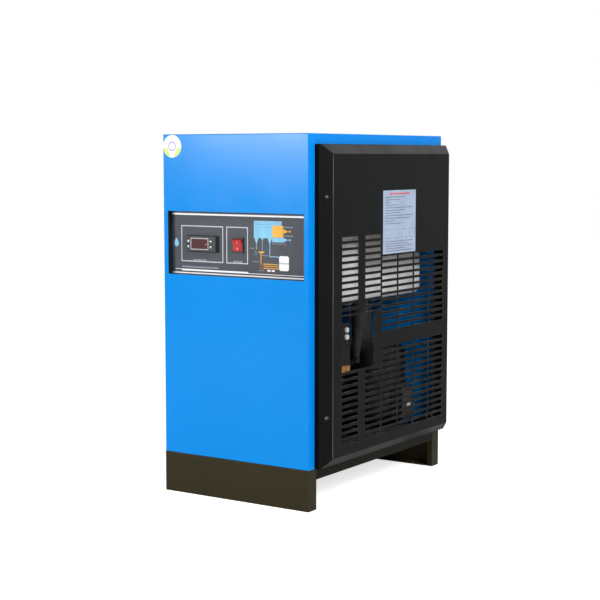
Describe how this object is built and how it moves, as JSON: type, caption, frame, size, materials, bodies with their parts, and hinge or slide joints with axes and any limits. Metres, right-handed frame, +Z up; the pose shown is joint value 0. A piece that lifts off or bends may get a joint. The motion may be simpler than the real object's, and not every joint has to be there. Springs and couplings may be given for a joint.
{
  "type": "refrigerated air dryer",
  "caption": "Upright blue refrigerated compressed-air dryer with black vented side covers, a recessed control panel and rear air ports.",
  "frame": {"origin": "on the floor under the middle of the overall box, rear air ports included", "axes": "+Z up, -Y out of the control face, +X out of the side with the access window"},
  "size_m": [0.43, 0.576, 0.76],
  "materials": {
    "cabinet_blue": "semi-gloss blue powder coat",
    "cover_black": "semi-gloss black powder coat",
    "base_black": "satin black powder coat",
    "zinc_steel": "zinc-plated",
    "panel_grey": "satin dark grey",
    "overlay_grey": "satin printed sheet",
    "black_plastic": "matte",
    "lens_red": "smoked red gloss",
    "switch_black": "gloss",
    "switch_red": "gloss red",
    "insulation_white": "white faced foam",
    "brass": "machined",
    "compressor_black": "gloss black enamel",
    "mount_rubber": "matte",
    "terminal_grey": "matte",
    "fin_aluminium": "plain",
    "fan_black": "matte",
    "copper": "drawn copper tube",
    "foam_black": "closed-cell foam sleeve",
    "coil_black": "moulded",
    "dial_white": "matte",
    "hose_blue": "satin hose",
    "block_white": "matte"
  },
  "bodies": {
    "cabinet": {"base_front_channel": "base_black", "base_rear_channel": "base_black", "base_side_rails": "base_black", "floor_pan": "base_black", "cabinet_shell": "cabinet_blue", "front_panel": "cabinet_blue", "rear_panel": "cabinet_blue", "right_side_cover": "cover_black", "left_side_cover": "cover_black", "cover_clips": "zinc_steel", "control_tray": "panel_grey", "control_overlay": "overlay_grey", "controller_case": "black_plastic", "controller_lens": "lens_red", "rocker_frame": "switch_black", "exchanger": "insulation_white", "exchanger_rack": "zinc_steel", "air_inlet_socket": "brass", "air_outlet_socket": "brass", "port_locknuts": "brass", "compressor_shell": "compressor_black", "compressor_feet": "compressor_black", "compressor_grommets": "mount_rubber", "compressor_nuts": "zinc_steel", "compressor_terminal_cover": "terminal_grey", "condenser_core": "fin_aluminium", "condenser_end_plates": "zinc_steel", "condenser_return_bends": "copper", "fan_shroud": "base_black", "fan_bracket": "zinc_steel", "fan_motor": "zinc_steel", "discharge_line": "copper", "liquid_line": "copper", "filter_drier": "copper", "capillary_tube": "copper", "suction_line": "foam_black", "bypass_line": "copper", "bypass_valve": "brass", "fan_pressure_switch": "zinc_steel", "drain_neck": "foam_black", "drain_pipe": "copper", "drain_valve": "brass", "drain_coil": "coil_black", "drain_timer": "coil_black", "drain_hose": "hose_blue", "drain_bulkhead": "black_plastic", "cable_gland": "black_plastic", "electrical_plate": "zinc_steel", "terminal_block": "block_white", "run_capacitor": "zinc_steel"},
    "rocker": {"rocker": "switch_red"},
    "fan_rotor": {"fan_rotor": "fan_black"},
    "interval_dial": {"interval_dial": "dial_white"},
    "duration_dial": {"duration_dial": "dial_white"},
    "test_button": {"test_button": "dial_white"},
    "controller_key_upper_left": {"controller_key_upper_left": "black_plastic"},
    "controller_key_lower_left": {"controller_key_lower_left": "black_plastic"},
    "controller_key_upper_right": {"controller_key_upper_right": "black_plastic"},
    "controller_key_lower_right": {"controller_key_lower_right": "black_plastic"}
  },
  "joints": [
    {"name": "rocker_tilt", "type": "hinge", "parent": "cabinet", "child": "rocker", "pos_m": [0.001, -0.2747, 0.5325], "axis": [-1, 0, 0], "range_deg": [0, 16]},
    {"name": "fan_spin", "type": "hinge", "parent": "cabinet", "child": "fan_rotor", "pos_m": [-0.122, -0.012, 0.245], "axis": [1, 0, 0], "continuous": true},
    {"name": "interval_turn", "type": "hinge", "parent": "cabinet", "child": "interval_dial", "pos_m": [0.169, -0.122, 0.353], "axis": [1, 0, 0], "range_deg": [0, 270]},
    {"name": "duration_turn", "type": "hinge", "parent": "cabinet", "child": "duration_dial", "pos_m": [0.169, -0.122, 0.338], "axis": [1, 0, 0], "range_deg": [0, 270]},
    {"name": "test_press", "type": "slide", "parent": "cabinet", "child": "test_button", "axis": [-1, 0, 0], "range_m": [0, 0.0015], "stiffness_N_per_m": 300},
    {"name": "key_upper_left_press", "type": "slide", "parent": "cabinet", "child": "controller_key_upper_left", "axis": [0, 1, 0], "range_m": [0, 0.0008], "stiffness_N_per_m": 500},
    {"name": "key_lower_left_press", "type": "slide", "parent": "cabinet", "child": "controller_key_lower_left", "axis": [0, 1, 0], "range_m": [0, 0.0008], "stiffness_N_per_m": 500},
    {"name": "key_upper_right_press", "type": "slide", "parent": "cabinet", "child": "controller_key_upper_right", "axis": [0, 1, 0], "range_m": [0, 0.0008], "stiffness_N_per_m": 500},
    {"name": "key_lower_right_press", "type": "slide", "parent": "cabinet", "child": "controller_key_lower_right", "axis": [0, 1, 0], "range_m": [0, 0.0008], "stiffness_N_per_m": 500}
  ]
}
